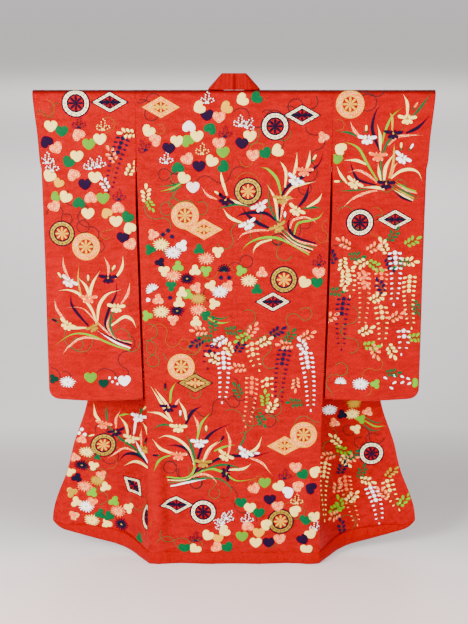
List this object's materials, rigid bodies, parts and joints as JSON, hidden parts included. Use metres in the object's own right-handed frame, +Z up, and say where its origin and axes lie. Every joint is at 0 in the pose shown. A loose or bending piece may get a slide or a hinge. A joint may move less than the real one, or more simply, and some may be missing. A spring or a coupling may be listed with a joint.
{
  "type": "uchikake wedding kimono on a display rod",
  "caption": "Long padded-hem bridal kimono of red silk with hanging sleeves, shown flat from the back on a plain rod through its sleeves",
  "frame": {"origin": "middle of the rod's axis, which the garment hangs on", "axes": "+Z up, X along the rod with the wearer's left sleeve at -X, -Y out of the back of the garment"},
  "size_m": [1.2836, 0.1861, 1.6717],
  "materials": {
    "red_silk": "red satin silk with embroidery in coloured silks and gold thread",
    "lining_silk": "bright red plain silk",
    "rod_wood": "dark satin lacquer"
  },
  "bodies": {
    "root": {"back_left": "red_silk", "back_right": "red_silk", "front_left": "red_silk", "front_right": "red_silk", "okumi_left": "red_silk", "okumi_right": "red_silk", "sleeve_right_front": "red_silk", "sleeve_right_back": "red_silk", "sleeve_left_front": "red_silk", "sleeve_left_back": "red_silk", "collar": "red_silk", "hem_roll_back_left": "lining_silk", "hem_roll_back_right": "lining_silk", "hem_roll_front_left": "lining_silk", "hem_roll_front_right": "lining_silk", "rod": "rod_wood"}
  },
  "joints": []
}
